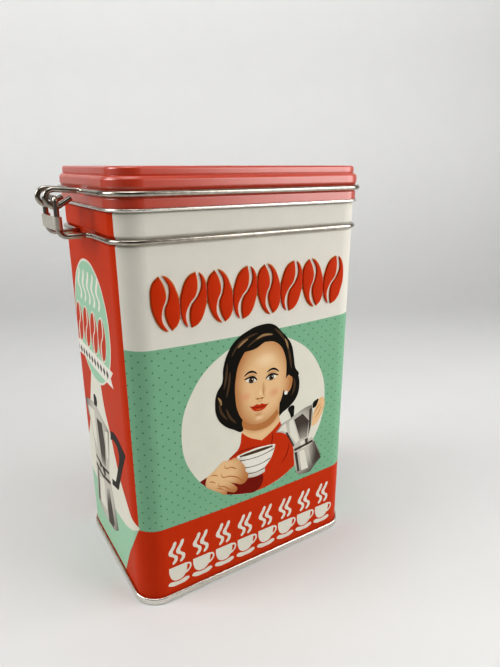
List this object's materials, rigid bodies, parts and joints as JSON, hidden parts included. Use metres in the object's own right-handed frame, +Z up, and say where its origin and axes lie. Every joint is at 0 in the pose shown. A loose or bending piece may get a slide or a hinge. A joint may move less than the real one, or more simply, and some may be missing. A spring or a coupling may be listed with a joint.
{
  "type": "storage tin with wire bail closure",
  "caption": "Upright rounded-rectangular storage tin with a slip-over gasketed lid on a wire hinge and an over-centre wire clasp.",
  "frame": {"origin": "centre of the base, on the plane the tin stands on", "axes": "+Z up; -Y out of the wide front; -X towards the hinge; +X towards the clasp"},
  "size_m": [0.14, 0.081, 0.18],
  "materials": {
    "printed_tinplate": "lithographed tinplate under a satin clear varnish",
    "red_tinplate": "lithographed tinplate under a satin clear varnish",
    "bare_tinplate": "bright tinplate, lacquered",
    "nickel_wire": "bright drawn wire, nickel plated",
    "silicone": "translucent white silicone"
  },
  "bodies": {
    "can": {"body_shell": "printed_tinplate", "base_end": "bare_tinplate", "body_ring": "nickel_wire", "hinge_clip": "nickel_wire"},
    "lid": {"lid_shell": "red_tinplate", "lid_gasket": "silicone", "lid_ring": "nickel_wire"},
    "lever": {"clasp_lever": "nickel_wire"},
    "loop": {"catch_loop": "nickel_wire"}
  },
  "joints": [
    {"name": "lid_hinge", "type": "hinge", "parent": "can", "child": "lid", "pos_m": [-0.0671, 0, 0.16895], "axis": [0, -1, 0], "range_deg": [0, 215]},
    {"name": "lever_pivot", "type": "hinge", "parent": "can", "child": "lever", "pos_m": [0.06, 0, 0.1551], "axis": [0, -1, 0], "range_deg": [0, 110]},
    {"name": "loop_pivot", "type": "hinge", "parent": "lever", "child": "loop", "pos_m": [0.0596, 0, 0.1491], "axis": [0, -1, 0], "range_deg": [-140, 0]}
  ],
  "couplings": [
    {"joint": "loop_pivot", "follows": "lever_pivot", "ratio": -1.25}
  ]
}
